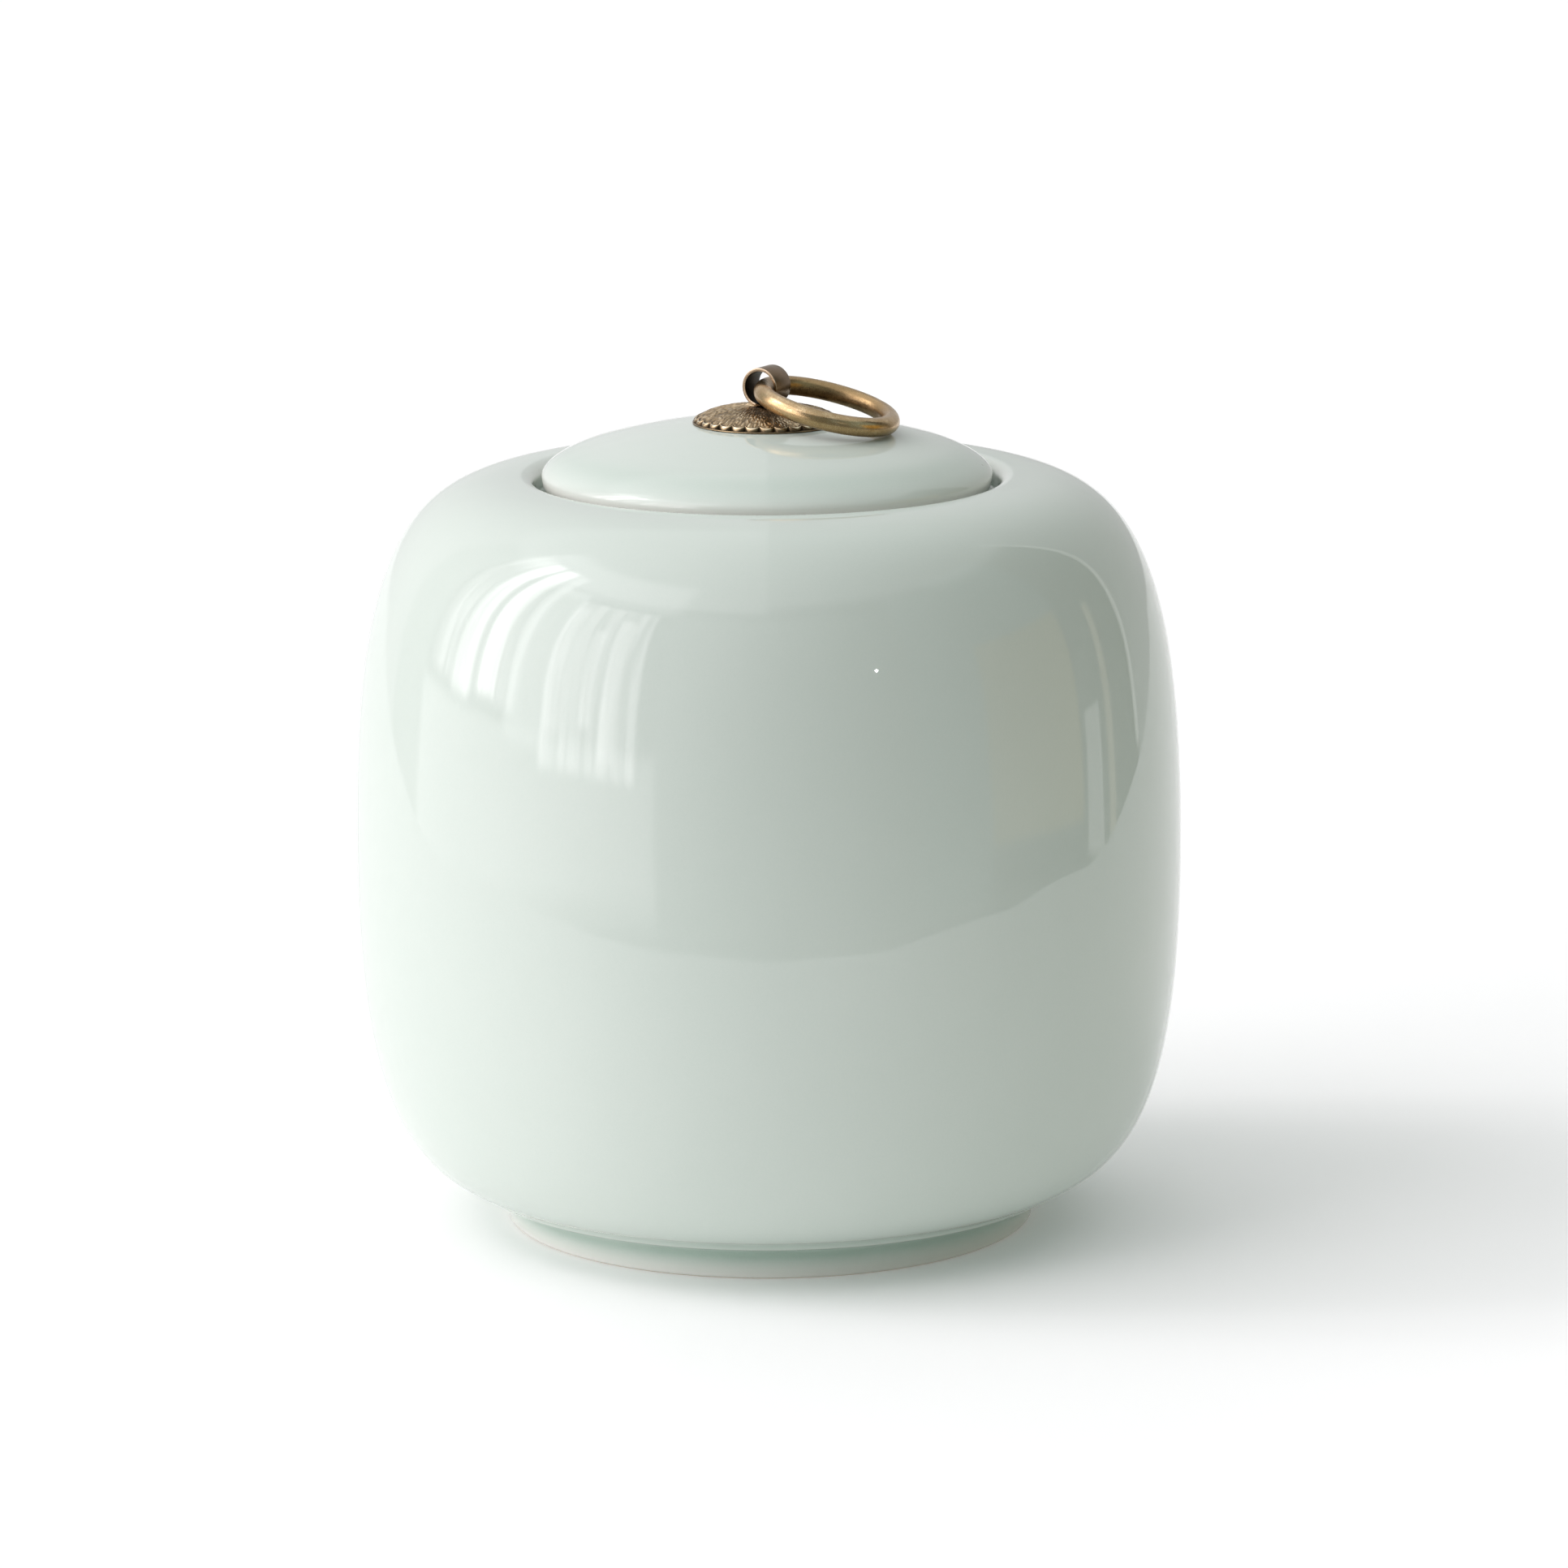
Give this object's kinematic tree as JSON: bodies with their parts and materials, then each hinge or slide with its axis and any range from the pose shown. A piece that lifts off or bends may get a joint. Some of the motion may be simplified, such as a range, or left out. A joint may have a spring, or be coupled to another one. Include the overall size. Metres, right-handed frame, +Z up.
{
  "type": "lidded ginger jar",
  "caption": "Squat glazed storage jar with a sunk domed lid that lifts off by a brass drop ring hung in a swivelling eye on a petalled rosette.",
  "frame": {"origin": "centre of the foot ring's base plane, on the jar's axis", "axes": "+Z up along the jar's axis; the drop ring swings in the XZ plane and lies towards +X at rest; the ring's hinge line is along Y"},
  "size_m": [0.1684, 0.1684, 0.1756],
  "materials": {
    "body_glaze": "gloss celadon glaze, pale where thin on edges, greener where it pools",
    "lid_glaze": "gloss celadon glaze, pale at the rim",
    "silicone": "milky translucent silicone, satin",
    "rosette_brass": "antiqued stamped brass, dark in the hollows and bright on the petal edges",
    "eye_brass": "antiqued strip brass, bright on the cut edges",
    "ring_brass": "antiqued and burnished round brass wire",
    "soft_washer": "matte black rubber",
    "plain_brass": "plain pressed brass, satin"
  },
  "bodies": {
    "jar": {"jar_body": "body_glaze"},
    "seal": {"lid_seal": "silicone"},
    "lid": {"lid": "lid_glaze", "rosette": "rosette_brass", "cushion_washer": "soft_washer", "backing_washer": "plain_brass"},
    "eye": {"eye_pin": "eye_brass"},
    "ring": {"drop_ring": "ring_brass"}
  },
  "joints": [
    {"name": "lid_lift", "type": "slide", "parent": "jar", "child": "seal", "axis": [0, 0, 1], "range_m": [0, 0.04]},
    {"name": "lid_turn", "type": "hinge", "parent": "seal", "child": "lid", "pos_m": [0, 0, 0.149], "axis": [0, 0, 1], "continuous": true},
    {"name": "eye_swivel", "type": "hinge", "parent": "lid", "child": "eye", "pos_m": [0, 0, 0.165], "axis": [0, 0, 1], "continuous": true},
    {"name": "ring_swing", "type": "hinge", "parent": "eye", "child": "ring", "pos_m": [0, 0, 0.17135], "axis": [0, -1, 0], "range_deg": [0, 208.8]}
  ]
}
